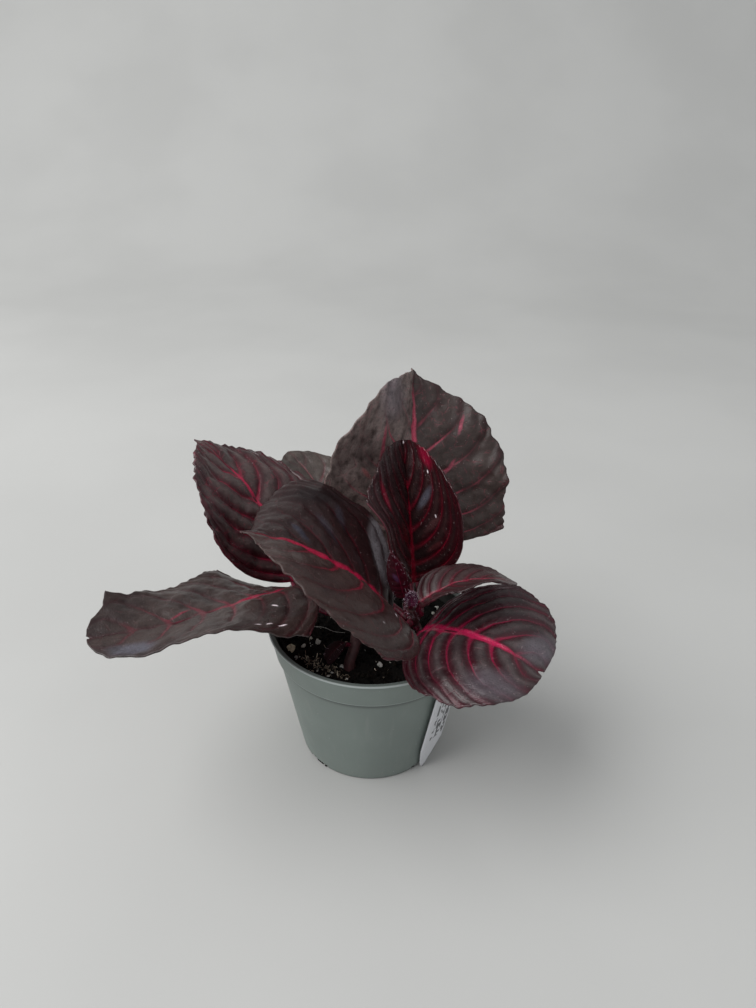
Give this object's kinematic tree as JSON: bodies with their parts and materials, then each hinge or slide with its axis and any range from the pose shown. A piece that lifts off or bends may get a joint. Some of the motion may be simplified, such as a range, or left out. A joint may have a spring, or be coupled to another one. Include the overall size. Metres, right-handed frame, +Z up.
{
  "type": "potted bloodleaf",
  "caption": "Young bloodleaf plant with dark red veined leaves, growing in a small tapered plastic nursery pot with a plant label.",
  "frame": {"origin": "centre of the pot's flat base", "axes": "+Z up out of the pot, -Y towards the side that the picture shows as the front, +X to its right"},
  "size_m": [0.1198, 0.1027, 0.105],
  "materials": {
    "pot": "satin grey-green moulded plastic",
    "soil": "loose dark peat with perlite",
    "label": "thin white plastic strip",
    "stem": "smooth dark red plant stem",
    "dark_leaf": "dark brown-red leaf with crimson veins",
    "grey_leaf": "greyish brown-red leaf with crimson veins",
    "red_leaf": "young crimson leaf with fine hairs"
  },
  "bodies": {
    "root": {"pot": "pot", "soil": "soil", "label": "label", "main_stem": "stem", "side_stem": "stem", "leaf_front": "dark_leaf", "leaf_upper_left": "dark_leaf", "leaf_lower_left": "grey_leaf", "leaf_right": "grey_leaf", "leaf_top": "dark_leaf", "leaf_centre": "dark_leaf", "leaf_back_left": "dark_leaf", "leaf_small_right": "dark_leaf", "young_leaf_left": "red_leaf", "young_leaf_tip": "red_leaf", "young_leaf_side": "red_leaf"}
  },
  "joints": []
}
